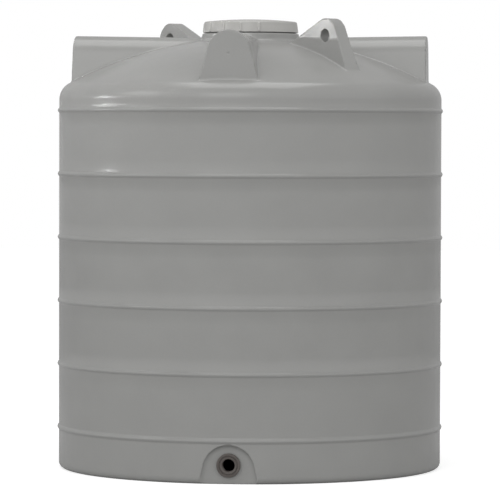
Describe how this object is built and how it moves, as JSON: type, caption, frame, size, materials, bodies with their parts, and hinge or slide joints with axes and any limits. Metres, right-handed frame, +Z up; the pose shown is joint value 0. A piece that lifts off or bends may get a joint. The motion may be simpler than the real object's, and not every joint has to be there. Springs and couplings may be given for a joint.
{
  "type": "vertical water storage tank",
  "caption": "Hollow moulded upright water tank with horizontal ribs, four roof buttresses, two lifting lugs, a screwed manhole lid and a flanged threaded outlet low on the front.",
  "frame": {"origin": "on the ground under the middle of the tank", "axes": "+Z up along the tank's axis, front with the outlet towards -Y, +X to the right seen from the front"},
  "size_m": [1.7937, 1.7938, 2.0866],
  "materials": {
    "shell": "grey moulded polyethylene, slightly glossy with a fine orange-peel",
    "lid": "lighter grey moulded plastic, satin",
    "fitting": "black moulded plastic, satin",
    "seal": "black rubber, matt"
  },
  "bodies": {
    "tank": {"tank_shell": "shell", "outlet_body": "fitting", "outlet_gasket": "seal", "outlet_backnut": "fitting"},
    "seal": {"lid_seal": "seal"},
    "lid": {"lid": "lid"}
  },
  "joints": [
    {"name": "lid_rise", "type": "slide", "parent": "tank", "child": "seal", "axis": [0, 0, 1], "range_m": [0, 0.0151]},
    {"name": "lid_turn", "type": "hinge", "parent": "seal", "child": "lid", "pos_m": [0, 0, 2.0706], "axis": [0, 0, 1], "range_deg": [0, 450]}
  ],
  "couplings": [
    {"joint": "lid_rise", "follows": "lid_turn", "m_per_rad": 0.0019099}
  ]
}
